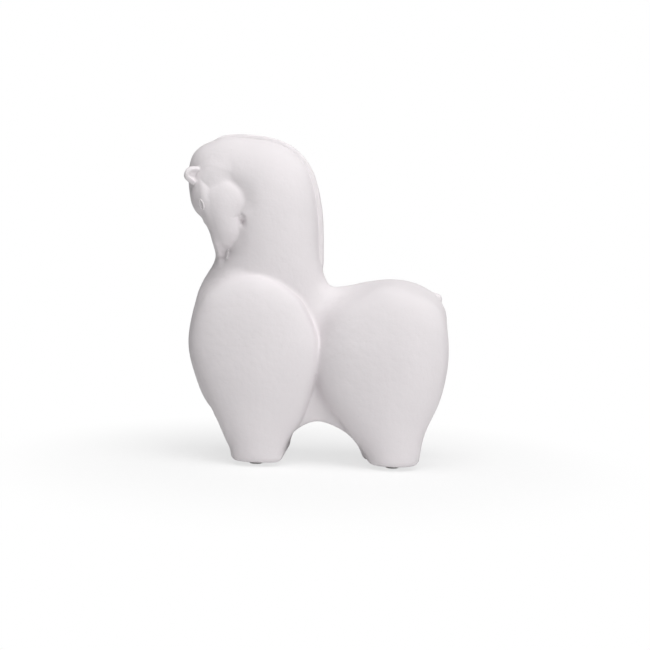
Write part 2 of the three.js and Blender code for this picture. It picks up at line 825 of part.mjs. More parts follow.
// A self-adhesive disc with a slightly smaller, softly rounded lower face.
function footPad() {
  const radius = padDiameter / 2;
  const profile = [
    new THREE.Vector2(0, 0),
    new THREE.Vector2(radius - padTaper * 1.4, 0),
    new THREE.Vector2(radius - padTaper * 0.7, padThickness * 0.14),
    new THREE.Vector2(radius, padThickness * 0.8),
    new THREE.Vector2(radius, padThickness),
    new THREE.Vector2(0, padThickness),
  ];
  const pad = new THREE.LatheGeometry(profile, 16);
  pad.rotateX(Math.PI / 2);
  return pad;
}

// Assembly

const ceramic = { color: 0xdbd6d8, roughness: 0.85, metalness: 0 };
const clearRubber = { color: 0xc9c7c4, roughness: 0.4, metalness: 0 };
const horse = new THREE.Group();

function addPiece(name, geometry, finish) {
  const mesh = new THREE.Mesh(geometry, new THREE.MeshStandardMaterial(finish));
  mesh.name = name;
  horse.add(mesh);
  return mesh;
}

const [leftShell, rightShell] = bodyShells();
addPiece('body_left_shell', leftShell, ceramic);
addPiece('body_right_shell', rightShell, ceramic);
addPiece('mane_ridge', toGeometry(largest(outward(maneStrip()).subtract(grownBody))), ceramic);
addPiece('ear_left', ear(-1), ceramic);
addPiece('ear_right', ear(1), ceramic);
addPiece('tail_stub', tail(), ceramic);

const feet = [
  ['front', frontPadX, shoulderSpread / 2],
  ['rear', rearFootX, haunchSpread / 2],
];
for (const [end, x, spread] of feet) {
  for (const [side, way] of [['left', -1], ['right', 1]]) {
    addPiece(`foot_pad_${end}_${side}`, footPad(), clearRubber).position.set(x, way * spread, 0);
  }
}

// The frame stands at the middle of the object's box, on the floor.
const extent = new THREE.Box3().setFromObject(horse);
horse.position.x = -(extent.min.x + extent.max.x) / 2;

export default horse;
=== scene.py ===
import math

import bmesh
import bpy
import numpy as np
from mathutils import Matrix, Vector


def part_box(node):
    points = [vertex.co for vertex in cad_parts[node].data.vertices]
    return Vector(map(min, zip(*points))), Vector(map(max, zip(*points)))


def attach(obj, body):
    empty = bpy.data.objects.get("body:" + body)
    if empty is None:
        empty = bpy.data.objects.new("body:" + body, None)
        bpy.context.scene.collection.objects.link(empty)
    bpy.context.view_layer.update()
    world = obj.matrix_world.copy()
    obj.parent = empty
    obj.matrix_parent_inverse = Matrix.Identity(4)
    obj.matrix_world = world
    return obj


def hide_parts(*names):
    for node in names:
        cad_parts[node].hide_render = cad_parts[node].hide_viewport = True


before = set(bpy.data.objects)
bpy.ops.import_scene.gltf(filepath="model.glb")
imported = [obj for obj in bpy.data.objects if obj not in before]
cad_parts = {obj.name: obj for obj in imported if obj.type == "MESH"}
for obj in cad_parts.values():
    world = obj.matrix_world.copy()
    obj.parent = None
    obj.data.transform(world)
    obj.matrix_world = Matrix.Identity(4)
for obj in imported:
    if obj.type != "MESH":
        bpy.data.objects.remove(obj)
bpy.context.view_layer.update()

import openvdb
from mathutils import Quaternion, Vector

# Camera. A long lens a little above the horse's left side, turned slightly towards the tail, with the small
# roll that the photograph has. The picture is square, so one angle sets the framing.
MM = 0.001
PAD_LOW, PAD_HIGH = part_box("foot_pad_front_left")
FRONT_FOOT_X = -39.5
SHIFT_X = (PAD_LOW.x + PAD_HIGH.x) / 2 / MM - FRONT_FOOT_X
VIEW_AZIMUTH = math.radians(3.2)
VIEW_ELEVATION = math.radians(3.18)
VIEW_ROLL = math.radians(1.65)
VIEW_DISTANCE = 0.9014
VIEW_MIDDLE_X, VIEW_MIDDLE_Z = 8.4, 105.0
VIEW_TARGET = Vector(((VIEW_MIDDLE_X + SHIFT_X) * MM, 0, VIEW_MIDDLE_Z * MM))
VIEW_LENS, SENSOR_WIDTH = 64.73, 36

scene = bpy.context.scene
scene.view_settings.view_transform = "Standard"
camera_data = bpy.data.cameras.new("camera")
camera_data.lens = VIEW_LENS
camera_data.sensor_width = SENSOR_WIDTH
camera = bpy.data.objects.new("camera", camera_data)
scene.collection.objects.link(camera)
scene.camera = camera
backwards = Vector((
    math.sin(VIEW_AZIMUTH) * math.cos(VIEW_ELEVATION),
    -math.cos(VIEW_AZIMUTH) * math.cos(VIEW_ELEVATION),
    math.sin(VIEW_ELEVATION),
))
camera.location = VIEW_TARGET + backwards * VIEW_DISTANCE
camera.rotation_mode = "QUATERNION"
camera.rotation_quaternion = (-backwards).to_track_quat("-Z", "Y") @ Quaternion((0, 0, 1), VIEW_ROLL)

# Studio. A white table under a broad lamp overhead, with a key high on the tail side, a low lamp that
# reaches in between the legs and a weak fill beside the camera. The dim surround is a little lighter
# behind the tail. The table shows as white and keeps only part of the shadow.
FLOOR_SIZE = 6.0
FLOOR_COLOUR = (0.85, 0.85, 0.85, 1)
SHADOW_SHARE, SHADOW_REACH = 0.30, (0.10, 0.27)
AMBIENT, AMBIENT_LEAN = 0.20, 0.25
LAMP_DISTANCE, LAMP_TARGET = 1.6, Vector((0, 0, 0.12))
LAMPS = (
    ("top_lamp", (0.0, -0.3, 1.0), 1.1, 16.5),
    ("key_lamp", (0.42, -0.42, 0.85), 1.1, 6.5),
    ("low_lamp", (0.70, -0.72, 0.12), 0.9, 6.0),
    ("front_fill", (0.30, -1.0, 0.10), 1.1, 3.0),
)


def lamp(name, direction, size, power):
    """A square area lamp that looks at the middle of the horse from a direction."""
    data = bpy.data.lights.new(name, "AREA")
    data.shape = "SQUARE"
    data.size = size
    data.energy = power
    holder = bpy.data.objects.new(name, data)
    scene.collection.objects.link(holder)
    way = Vector(direction).normalized()
    holder.location = LAMP_TARGET + way * LAMP_DISTANCE
    holder.rotation_mode = "QUATERNION"
    holder.rotation_quaternion = (-way).to_track_quat("-Z", "Y")


for values in LAMPS:
    lamp(*values)


def new_material(name):
    """An empty node material, its tree and its output node."""
    material = bpy.data.materials.new(name)
    material.use_nodes = True
    tree = material.node_tree
    tree.nodes.clear()
    output = tree.nodes.new("ShaderNodeOutputMaterial")
    return material, tree, output


def add_node(tree, kind, **values):
    """A node of a kind. Words that are sockets set the socket, and the others set the node's own settings."""
    node = tree.nodes.new(kind)
    for word, value in values.items():
        label = word.replace("_", " ")
        if label in node.inputs:
            node.inputs[label].default_value = value
        else:
            setattr(node, word, value)
    return node


def maths(tree, operation, first, second):
    """A maths node. Each side is a socket or a number."""
    node = add_node(tree, "ShaderNodeMath", operation=operation)
    for socket, value in zip(node.inputs, (first, second)):
        if isinstance(value, (int, float)):
            socket.default_value = value
        else:
            tree.links.new(value, socket)
    return node.outputs[0]


def smooth_range(tree, value, low, high, out_low=0.0, out_high=1.0):
    """A value eased from one range to another."""
    node = add_node(tree, "ShaderNodeMapRange", interpolation_type="SMOOTHSTEP")
    for socket, number in zip(node.inputs[1:5], (low, high, out_low, out_high)):
        socket.default_value = number
    tree.links.new(value, node.inputs["Value"])
    return node.outputs["Result"]


def shader_mix(tree, share, first, second):
    """Mixes two shaders by a share, all three of them sockets."""
    mix = add_node(tree, "ShaderNodeMixShader")
    for socket, value in zip(mix.inputs, (share, first, second)):
        tree.links.new(value, socket)
    return mix.outputs[0]


def seen_directly(tree):
    """1 where the camera looks straight at a surface or through the clear rubber, else 0."""
    rays = add_node(tree, "ShaderNodeLightPath")
    return maths(tree, "MAXIMUM", rays.outputs["Is Camera Ray"], rays.outputs["Is Transmission Ray"])


def white_table():
    """Plain diffuse for the light it throws back, and mostly white where the camera sees it."""
    material, tree, output = new_material("white_table")
    diffuse = add_node(tree, "ShaderNodeBsdfDiffuse", Color=FLOOR_COLOUR)
    white = add_node(tree, "ShaderNodeEmission", Color=(1, 1, 1, 1), Strength=1.0)
    place = add_node(tree, "ShaderNodeNewGeometry")
    distance = add_node(tree, "ShaderNodeVectorMath", operation="LENGTH")
    tree.links.new(place.outputs["Position"], distance.inputs[0])
    whiteness = smooth_range(tree, distance.outputs["Value"], *SHADOW_REACH, 1 - SHADOW_SHARE, 1)
    share = maths(tree, "MULTIPLY", seen_directly(tree), whiteness)
    shown = shader_mix(tree, share, diffuse.outputs[0], white.outputs[0])
    tree.links.new(shown, output.inputs["Surface"])
    return material


half = FLOOR_SIZE / 2
table_mesh = bpy.data.meshes.new("table_top")
corners = [(-half, -half, 0), (half, -half, 0), (half, half, 0), (-half, half, 0)]
table_mesh.from_pydata(corners, [], [(0, 1, 2, 3)])
table_mesh.materials.append(white_table())
table_top = bpy.data.objects.new("table_top", table_mesh)
scene.collection.objects.link(table_top)

world = bpy.data.worlds.new("surround")
scene.world = world
world.use_nodes = True
sky = world.node_tree
sky.nodes.clear()
sky_way = add_node(sky, "ShaderNodeTexCoord")
sky_split = add_node(sky, "ShaderNodeSeparateXYZ")
sky.links.new(sky_way.outputs["Generated"], sky_split.inputs[0])
sky_level = smooth_range(sky, sky_split.outputs["X"], -1, 1,
                         AMBIENT * (1 - AMBIENT_LEAN), AMBIENT * (1 + AMBIENT_LEAN))
sky_dim = add_node(sky, "ShaderNodeBackground", Color=(1, 1, 1, 1))
sky.links.new(sky_level, sky_dim.inputs["Strength"])
sky_white = add_node(sky, "ShaderNodeBackground", Color=(1, 1, 1, 1), Strength=1.0)
sky_shown = shader_mix(sky, seen_directly(sky), sky_dim.outputs[0], sky_white.outputs[0])
sky.links.new(sky_shown, add_node(sky, "ShaderNodeOutputWorld").inputs["Surface"])

# Clay body. Two cast half shells, luted together and sanded until the seam is gone, make one continuous
# matt skin. Its form is a blend of crowned masses: trunk, neck, breast, belly, head, shoulders and haunches,
# with the arch and the split between the legs carved out. Sizes are in millimetres.
PAD_THICKNESS, FOOT_EDGE = 3.0, 5.0
REAR_FOOT_X = 63.5
TRUNK_DEPTH, TRUNK_DIP, NECK_DEPTH = 46.69, -18.0, 57.0
CHEST_X, CHEST_Z, RUMP_X, RUMP_TOP, BACK_Z = -95.2, 88.0, 101.97, 140.0, 135.5
CREST_TOP, CREST_X, CREST_REAR, POLL_X, THROAT_X = 249.33, -55.0, 5.4, -85.0, -57.0
BREAST_DEPTH, BREAST_REACH, BREAST_FLATNESS = 60.0, 50.0, 2.3
BELLY_LENGTH, BELLY_HEIGHT, BELLY_MIDDLE, BELLY_DEPTH = 84.0, 150.0, 48.0, 49.44
SHOULDER_X, SHOULDER_LENGTH, SHOULDER_TOP, FRONT_FOOT_LENGTH = FRONT_FOOT_X + 1.8, 91.0, 142.0, 42.0
SHOULDER_DEPTH, SHOULDER_SPREAD, SHOULDER_FLATNESS = 45.9, 48.0, 2.9
HAUNCH_LENGTH, HAUNCH_TOP, REAR_FOOT_LENGTH = 99.5, 136.0, 40.5
HAUNCH_DEPTH, HAUNCH_SPREAD, HAUNCH_FLATNESS = 49.9, 44.0, 2.25
LEG_SOLE, LEG_TIP, SOLE_SHARE, ANKLE_SHARE, CROWN_SHARE = -0.1, 1.6, 0.88, 0.06, 0.2
HEAD_START, HEAD_TILT, HEAD_LENGTH = (-84.0, 232.0), math.radians(12.9), 73.0
HEAD_DEPTH, HEAD_FLATNESS, HEAD_CALM = 58.0, 3.4, 14.0
FACE_REACH, CHEEK_REACH, MUZZLE_WIDTH = 19.4, 29.2, 22.0
HEAD_SINK, HEAD_SINK_RANGE = 7.0, (216.0, 256.0)
ARCH_X, ARCH_TOP, ARCH_FRONT, ARCH_REAR, ARCH_FOOT = 6.0, 33.3, 26.0, 38.0, -14.0
SPLIT_RADIUS, SPLIT_HEIGHT = 6.5, 28.0
MANE_PROUD = 3.4
# The shallow valley pressed into the neck along the cheek, and the pit at the angle of the jaw.
THROAT_PRESS, THROAT_FADE, THROAT_EDGE = 6.5, 5.5, 9.0
THROAT_START, THROAT_SIDE = (8.0, 34.0), (2.0, 18.0)
PIT_PLACE, PIT_SIZE, PIT_DEPTH = (-54.6, 182.2), (1.9, 3.2), 4.6
PRESS_FADE = (4.0, 12.0)
# Fillets where the masses meet. Some grow from one size to another over a range of places.
NECK_FILLET, BREAST_FILLET, BELLY_FILLET = 10.0, 5.0, 4.0
JAW_FILLET, POLL_FILLET, POLL_RANGE, POLL_SLANT, FACE_SIDE = 2.0, 20.0, (216.0, 244.0), 0.9, (-3.0, 9.0)
HAUNCH_FILLET, RUMP_FILLET, RUMP_RANGE = 4.0, 20.0, (82.0, 122.0)
SHOULDER_FILLET, CHEST_FILLET, CHEST_RANGE = 3.0, 12.0, (42.0, 70.0)
SPLIT_FILLET, ARCH_FILLET = 3.0, 2.5
# How finely an outline is drawn, and how the map of its depth is laid out round it.
CURVE_STEPS, MAP_STEP, MAP_MARGIN, DEPTH_LIMIT, SLOPE_LIMITS = 6, 0.75, 24.0, 60.0, (0.05, 1.5)


def eased(value, low, high):
    """Goes smoothly from 0 to 1 as a value passes from low to high."""
    share = np.clip((value - low) / (high - low), 0, 1)
    return share * share * (3 - 2 * share)


def between(first, second, share):
    """A value a share of the way from one to another."""
    return first + (second - first) * share


def catmull_rom(points, closed):
    """A smooth curve through points of the side view."""
    points = np.array(points, float)
    count = len(points)
    spans = count if closed else count - 1
    share = np.arange(CURVE_STEPS)[:, None] / CURVE_STEPS
    stretches = []
    for i in range(spans):
        if closed:
            a, b, c, d = (points[(i + k) % count] for k in (-1, 0, 1, 2))
        else:
            b, c = points[i], points[i + 1]
            a = points[i - 1] if i else 2 * b - c
            d = points[i + 2] if i + 2 < count else 2 * c - b
        stretches.append(0.5 * (2 * b + (c - a) * share + (2 * a - 5 * b + 4 * c - d) * share ** 2
                                + (3 * b - a - 3 * c + d) * share ** 3))
    curve = np.concatenate(stretches)
    return curve if closed else np.vstack([curve, points[-1]])


def spindle(start, stations, end, place):
    """Outline through stations [along, reach one way, reach the other], between a start and an end tip."""
    near = [place(along, one) for along, one, other in stations]
    far = [place(along, other) for along, one, other in reversed(stations)]
    return [place(*start)] + near + [place(*end)] + far


def leg_outline(foot_x, foot_length, swell_length, top, rows):
    """A leg from below the floor, where its foot is cut square later, up to its rounded top."""
    foot, swell, below = foot_length / 2, swell_length / 2, top * LEG_SOLE
    stations = [(below, -foot * SOLE_SHARE, foot * SOLE_SHARE), (top * ANKLE_SHARE, -foot, foot)]
    stations += [(top * share, front * swell, rear * swell) for share, front, rear in rows]
    crown = (top, rows[-1][1] * swell * CROWN_SHARE)
    return spindle((below * LEG_TIP, 0), stations, crown, lambda height, across: (foot_x + across, height))


def on_head(along, across):
    """A point of the head: a distance down its axis from the poll and a reach towards the throat."""
    return (HEAD_START[0] + along * math.sin(HEAD_TILT) + across * math.cos(HEAD_TILT),
            HEAD_START[1] - along * math.cos(HEAD_TILT) + across * math.sin(HEAD_TILT))


def from_poll(x, z):
    """The other way round: the distance down the head's axis and the reach towards the throat of a point."""
    right, drop = x - HEAD_START[0], HEAD_START[1] - z
    return (right * math.sin(HEAD_TILT) + drop * math.cos(HEAD_TILT),
            right * math.cos(HEAD_TILT) - drop * math.sin(HEAD_TILT))


def inwards(line, depth):
    """The same line moved to its inner side."""
    way = np.gradient(line, axis=0)
    way /= np.linalg.norm(way, axis=1, keepdims=True)
    return line + np.stack([way[:, 1], -way[:, 0]], 1) * np.reshape(depth, (-1, 1))


shoulder_outline = leg_outline(SHOULDER_X, FRONT_FOOT_LENGTH, SHOULDER_LENGTH, SHOULDER_TOP, [
    (0.14, -0.57, 0.53), (0.29, -0.78, 0.77), (0.59, -1.15, 0.97), (0.82, -1.05, 0.74), (0.94, -0.76, 0.38)])
haunch_outline = leg_outline(REAR_FOOT_X, REAR_FOOT_LENGTH, HAUNCH_LENGTH, HAUNCH_TOP, [
    (0.20, -0.71, 0.48), (0.40, -1.11, 0.70), (0.62, -1.20, 0.794), (0.82, -0.96, 0.72), (0.94, -0.55, 0.44)])
trunk_outline = [
    (CHEST_X, CHEST_Z), (CHEST_X + 8, CHEST_Z - 33), (CHEST_X + 19, CHEST_Z - 52),
    (CHEST_X + 30, 20), (FRONT_FOOT_X - 14, -2), (FRONT_FOOT_X, TRUNK_DIP), (ARCH_X, TRUNK_DIP - 4),
    (REAR_FOOT_X, TRUNK_DIP), (REAR_FOOT_X + 13, 0), (RUMP_X - 19, 24),
    (RUMP_X - 11, RUMP_TOP - 100), (RUMP_X - 3, RUMP_TOP - 82), (RUMP_X, RUMP_TOP - 52),
    (RUMP_X - 3, RUMP_TOP - 26), (RUMP_X - 9.5, RUMP_TOP - 12), (RUMP_X - 22, RUMP_TOP - 3.5),
    (REAR_FOOT_X, RUMP_TOP), (REAR_FOOT_X - 22, RUMP_TOP - 1.5), (CREST_REAR + 18, BACK_Z),
    (CREST_REAR + 5, BACK_Z + 0.8), (CREST_REAR - 7, BACK_Z + 17), (CREST_REAR - 25, BACK_Z + 34),
    (FRONT_FOOT_X, CHEST_Z + 84), (CHEST_X + 31, CHEST_Z + 78), (CHEST_X + 16.2, CHEST_Z + 59),
    (CHEST_X + 5, CHEST_Z + 36)]
breast_outline = [
    (CHEST_X, CHEST_Z), (CHEST_X + 8.5, CHEST_Z - 32), (CHEST_X + 21, CHEST_Z - 49),
    (CHEST_X + BREAST_REACH - 8, CHEST_Z - 46), (CHEST_X + BREAST_REACH + 4, CHEST_Z),
    (CHEST_X + BREAST_REACH, CHEST_Z + 34), (CHEST_X + 30, CHEST_Z + 46), (CHEST_X + 15.2, CHEST_Z + 46),
    (CHEST_X + 5, CHEST_Z + 33)]
crest_points = [
    (POLL_X, CREST_TOP - 6.8), (POLL_X + 12.5, CREST_TOP - 1.0), (CREST_X, CREST_TOP),
    (CREST_X + 20, CREST_TOP - 2.4), (CREST_REAR - 23.7, CREST_TOP - 9.6),
    (CREST_REAR - 11.7, CREST_TOP - 22.9), (CREST_REAR - 4.9, CREST_TOP - 40),
    (CREST_REAR - 0.8, CREST_TOP - 63), (CREST_REAR + 0.5, CREST_TOP - 92), (CREST_REAR + 0.7, BACK_Z + 4)]
neck_inset = MANE_PROUD * eased(np.arange(len(crest_points)), -0.2, 2.2)
neck_outline = [tuple(p) for p in inwards(np.array(crest_points), neck_inset)] + [
    (CREST_REAR - 5, BACK_Z - 12), (CREST_REAR - 23, BACK_Z - 33), (THROAT_X - 3, BACK_Z - 33),
    (CHEST_X + 11, CHEST_Z + 34), (CHEST_X + 16.2, CHEST_Z + 53), (THROAT_X - 10.5, CHEST_Z + 68),
    (THROAT_X - 12, CHEST_Z + 80), (THROAT_X - 15, CHEST_Z + 92), (THROAT_X - 20, CHEST_Z + 104),
    (POLL_X - 3, CREST_TOP - 48), (POLL_X - 11, CREST_TOP - 41), (POLL_X - 14.5, CREST_TOP - 30),
    (POLL_X - 12.5, CREST_TOP - 18), (POLL_X - 7, CREST_TOP - 11)]
head_outline = spindle((0.12 * HEAD_LENGTH, 0), [
    (0.17 * HEAD_LENGTH, -0.48 * FACE_REACH, 0.30 * CHEEK_REACH),
    (0.24 * HEAD_LENGTH, -0.80 * FACE_REACH, 0.57 * CHEEK_REACH),
    (0.35 * HEAD_LENGTH, -0.99 * FACE_REACH, 0.81 * CHEEK_REACH),
    (0.44 * HEAD_LENGTH, -1.02 * FACE_REACH, 0.95 * CHEEK_REACH),
    (0.535 * HEAD_LENGTH, -0.895 * FACE_REACH, CHEEK_REACH),
    (0.62 * HEAD_LENGTH, -0.69 * FACE_REACH, 0.97 * CHEEK_REACH),
    (0.67 * HEAD_LENGTH, -0.65 * FACE_REACH, 0.87 * CHEEK_REACH),
    (0.705 * HEAD_LENGTH, -0.58 * FACE_REACH, 0.60 * CHEEK_REACH),
    (0.77 * HEAD_LENGTH, -0.44 * MUZZLE_WIDTH, 0.84 * MUZZLE_WIDTH),
    (0.89 * HEAD_LENGTH, -0.34 * MUZZLE_WIDTH, 0.70 * MUZZLE_WIDTH),
    (0.96 * HEAD_LENGTH, -0.18 * MUZZLE_WIDTH, 0.47 * MUZZLE_WIDTH),
], (HEAD_LENGTH, 0.10 * MUZZLE_WIDTH), on_head)
belly_outline = [(ARCH_X + BELLY_LENGTH / 2 * math.cos(a), BELLY_MIDDLE + BELLY_HEIGHT / 2 * math.sin(a))
                 for a in np.linspace(0, 2 * math.pi, 12, endpoint=False)]
arch_outline = [
    (ARCH_X - ARCH_FRONT, ARCH_FOOT), (ARCH_X - ARCH_FRONT * 0.96, ARCH_TOP * 0.12),
    (ARCH_X - ARCH_FRONT * 0.865, ARCH_TOP * 0.45), (ARCH_X - ARCH_FRONT * 0.61, ARCH_TOP * 0.78),
    (ARCH_X, ARCH_TOP), (ARCH_X + ARCH_REAR * 0.47, ARCH_TOP * 0.82),
    (ARCH_X + ARCH_REAR * 0.77, ARCH_TOP * 0.52), (ARCH_X + ARCH_REAR * 0.92, ARCH_TOP * 0.18),
    (ARCH_X + ARCH_REAR * 1.10, ARCH_FOOT)]


def depth_inside(outline, x, z):
    """Smooth depth inside a closed outline: the distance near its edge, levelling off to one soft crown.

    It sums, over the edges, the half angle that each is seen under, weighed by its nearness. On a corner of
    the outline the sum has no value, and the depth is nought.
    """
    total = np.zeros(np.shape(x))
    ax, az = outline[-1, 0] - x, outline[-1, 1] - z
    ar = np.hypot(ax, az) + 1e-9
    nearest = ar
    for px, pz in outline:
        bx, bz = px - x, pz - z
        br = np.hypot(bx, bz) + 1e-9
        nearest = np.minimum(nearest, br)
        total += (ax * bz - az * bx) / (ar * br + ax * bx + az * bz + 1e-9) * (1 / ar + 1 / br)
        ax, az, ar = bx, bz, br
    total = np.where(np.abs(total) < 1e-6, -1e-6, total)
    return np.where(nearest < 1e-6, 0, np.clip(2 / total, -DEPTH_LIMIT, DEPTH_LIMIT))


class Mass:
    """A crowned mass, or a pair of them set apart across the body.

    It has a closed outline in the side view (x, z) and swells to its half depth like a cushion, the flatter
    the higher its flatness is. A map holds the depth inside the outline, and the steepness of that depth.
    Outside, the depth falls ever faster, and calm is the size of the band that it is slowed down over.
    """

    def __init__(self, points, depth, spread=0.0, flatness=2.0, step=MAP_STEP, calm=0.0):
        outline = catmull_rom(points, True)
        turn = np.roll(outline, -1, 0)
        if np.sum(outline[:, 0] * turn[:, 1] - turn[:, 0] * outline[:, 1]) < 0:
            outline = outline[::-1]
        self.outline = outline
        self.half_depth, self.centre, self.flatness = depth / 2, spread / 2, flatness
        self.low, self.high = outline.min(0) - MAP_MARGIN, outline.max(0) + MAP_MARGIN
        self.step = step
        sides = [np.arange(low, high, step) for low, high in zip(self.low, self.high)]
        self.depth = depth_inside(outline, *np.meshgrid(*sides, indexing="ij"))
        self.deepest = self.depth.max()
        if calm:
            outside = calm / 2 * (1 - np.sqrt(1 - 4 * np.minimum(self.depth, 0) / calm))
            self.depth = np.where(self.depth < 0, outside, self.depth)
        self.slope = np.hypot(*np.gradient(self.depth, step))

    def read(self, table, x, z):
        """Value of a table of this mass at points of the side view."""
        places = []
        for value, low, count in ((x, self.low[0], table.shape[0]), (z, self.low[1], table.shape[1])):
            at = np.clip((value - low) / self.step, 0, count - 1.001)
            cell = at.astype(int)
            places.append((cell, at - cell))
        (i, u), (k, v) = places
        return ((table[i, k] * (1 - u) + table[i + 1, k] * u) * (1 - v)
                + (table[i, k + 1] * (1 - u) + table[i + 1, k + 1] * u) * v)

    def distance(self, x, y, z):
        """Distance to the mass's skin, near enough, negative inside. Off the map, the way to it is added."""
        across = np.abs(np.abs(y) - self.centre) / self.half_depth
        full = across ** self.flatness - self.read(self.depth, x, z) / self.deepest
        steep_y = self.flatness * across ** (self.flatness - 1) / self.half_depth
        steep_plan = np.clip(self.read(self.slope, x, z), *SLOPE_LIMITS) / self.deepest
        beyond = [np.maximum(np.maximum(low - at, at - high), 0)
                  for at, low, high in ((x, self.low[0], self.high[0]), (z, self.low[1], self.high[1]))]
        return full / np.hypot(steep_y, steep_plan) + np.hypot(*beyond)


def blend(a, b, size):
    """Union with a rounded joint of the given size."""
    near = np.maximum(size - np.abs(a - b), 0) / size
    return np.minimum(a, b) - near * near * size / 4


def carve(a, b, size):
    """Cut with a rounded edge of the given size."""
    return -blend(-a, -b, size)


trunk = Mass(trunk_outline, TRUNK_DEPTH)
neck = Mass(neck_outline, NECK_DEPTH)
head = Mass(head_outline, HEAD_DEPTH, flatness=HEAD_FLATNESS, calm=HEAD_CALM)
shoulder = Mass(shoulder_outline, SHOULDER_DEPTH, SHOULDER_SPREAD, SHOULDER_FLATNESS)
haunch = Mass(haunch_outline, HAUNCH_DEPTH, HAUNCH_SPREAD, HAUNCH_FLATNESS)
breast = Mass(breast_outline, BREAST_DEPTH, flatness=BREAST_FLATNESS)
belly = Mass(belly_outline, BELLY_DEPTH)
arch = Mass(arch_outline, TRUNK_DEPTH)


def pressed_throat(x, y, z):
    """How deep the neck is pressed in: a valley that follows the cheek, and the pit at the jaw's angle."""
    down, behind = from_poll(x, z)
    valley = THROAT_PRESS * np.exp((head.read(head.depth, x, z) - THROAT_EDGE) / THROAT_FADE)
    valley = valley * eased(down, *THROAT_START) * eased(behind, *THROAT_SIDE)
    pit = ((x - PIT_PLACE[0]) / PIT_SIZE[0]) ** 2 + ((z - PIT_PLACE[1]) / PIT_SIZE[1]) ** 2
    return (valley + PIT_DEPTH * np.exp(-pit)) * eased(np.abs(y), *PRESS_FADE)


def body_distance(x, y, z):
    """Distance to the plain body's skin, negative inside the clay."""
    d = blend(trunk.distance(x, y, z), neck.distance(x, y, z) + pressed_throat(x, y, z), NECK_FILLET)
    d = blend(d, breast.distance(x, y, z), BREAST_FILLET)
    d = blend(d, belly.distance(x, y, z), BELLY_FILLET)
    brow = z - POLL_SLANT * (x - THROAT_X)
    before = -from_poll(x, z)[1]
    face = head.distance(x, y, z) + HEAD_SINK * eased(brow, *HEAD_SINK_RANGE)
    soft = np.maximum(eased(brow, *POLL_RANGE), eased(before, *FACE_SIDE))
    d = blend(d, face, between(JAW_FILLET, POLL_FILLET, soft))
    d = blend(d, haunch.distance(x, y, z), between(HAUNCH_FILLET, RUMP_FILLET, eased(z, *RUMP_RANGE)))
    d = blend(d, shoulder.distance(x, y, z), between(SHOULDER_FILLET, CHEST_FILLET, eased(-x, *CHEST_RANGE)))
    split = np.hypot(y, np.maximum(z - SPLIT_HEIGHT + SPLIT_RADIUS, 0)) - SPLIT_RADIUS
    d = carve(d, -split, SPLIT_FILLET)
    d = carve(d, arch.read(arch.depth, x, z), ARCH_FILLET)
    return carve(d, PAD_THICKNESS - z, FOOT_EDGE)


# Fired clay, shared by the body and the pieces luted to it. It is unglazed, matt and near white, with a sandy
# tooth, shallow waves from sanding by hand, rare pinholes darkened with painted shade, and a slow drift of
# tone with faint specks.
BISQUE = (0.74, 0.705, 0.72, 1)
BISQUE_ROUGHNESS, BISQUE_SPECULAR = 0.85, 0.3
GRAIN_SCALE, GRAIN_DETAIL, GRAIN_SHARE, GRAIN_HEIGHT = 620.0, 3.0, 0.5, 0.00022
WAVE_SCALE, WAVE_DETAIL, WAVE_SHARE, NOISE_ROUGHNESS = 130.0, 1.0, 1.6, 0.55
PINHOLE_SCALE, PINHOLE_RADIUS, PINHOLE_CORE, PINHOLE_RARITY = 60.0, 0.028, 0.4, 0.62
# The pinholes' dark colour is painted shade inside the pits.
PINHOLE_SHADE, PINHOLE_SHADE_COLOUR = 0.55, (0.12, 0.11, 0.11, 1)
DRIFT_SCALE, DRIFT_DETAIL, DRIFT_RANGE, DRIFT_DEPTH = 22.0, 2.0, (0.3, 0.7), 0.035
SPECK_SCALE, SPECK_RADIUS, SPECK_RARITY, SPECK_DARKNESS = 260.0, 0.16, 0.90, 0.10


def new_group(name, inputs, outputs):
    """An empty node group with its sockets, and its input and output nodes."""
    group = bpy.data.node_groups.new(name, "ShaderNodeTree")
    for label, kind in inputs:
        group.interface.new_socket(label, in_out="INPUT", socket_type="NodeSocket" + kind)
    for label, kind in outputs:
        group.interface.new_socket(label, in_out="OUTPUT", socket_type="NodeSocket" + kind)
    return group, group.nodes.new("NodeGroupInput"), group.nodes.new("NodeGroupOutput")


def colour_mix(tree, share, first, second):
    """Mixes two colours, each a socket or a plain colour."""
    node = add_node(tree, "ShaderNodeMix", data_type="RGBA")
    sockets = [socket for socket in node.inputs if socket.type == "RGBA"]
    tree.links.new(share, node.inputs["Factor"])
    for socket, value in zip(sockets, (first, second)):
        if isinstance(value, tuple):
            socket.default_value = value
        else:
            tree.links.new(value, socket)
    return next(socket for socket in node.outputs if socket.type == "RGBA")


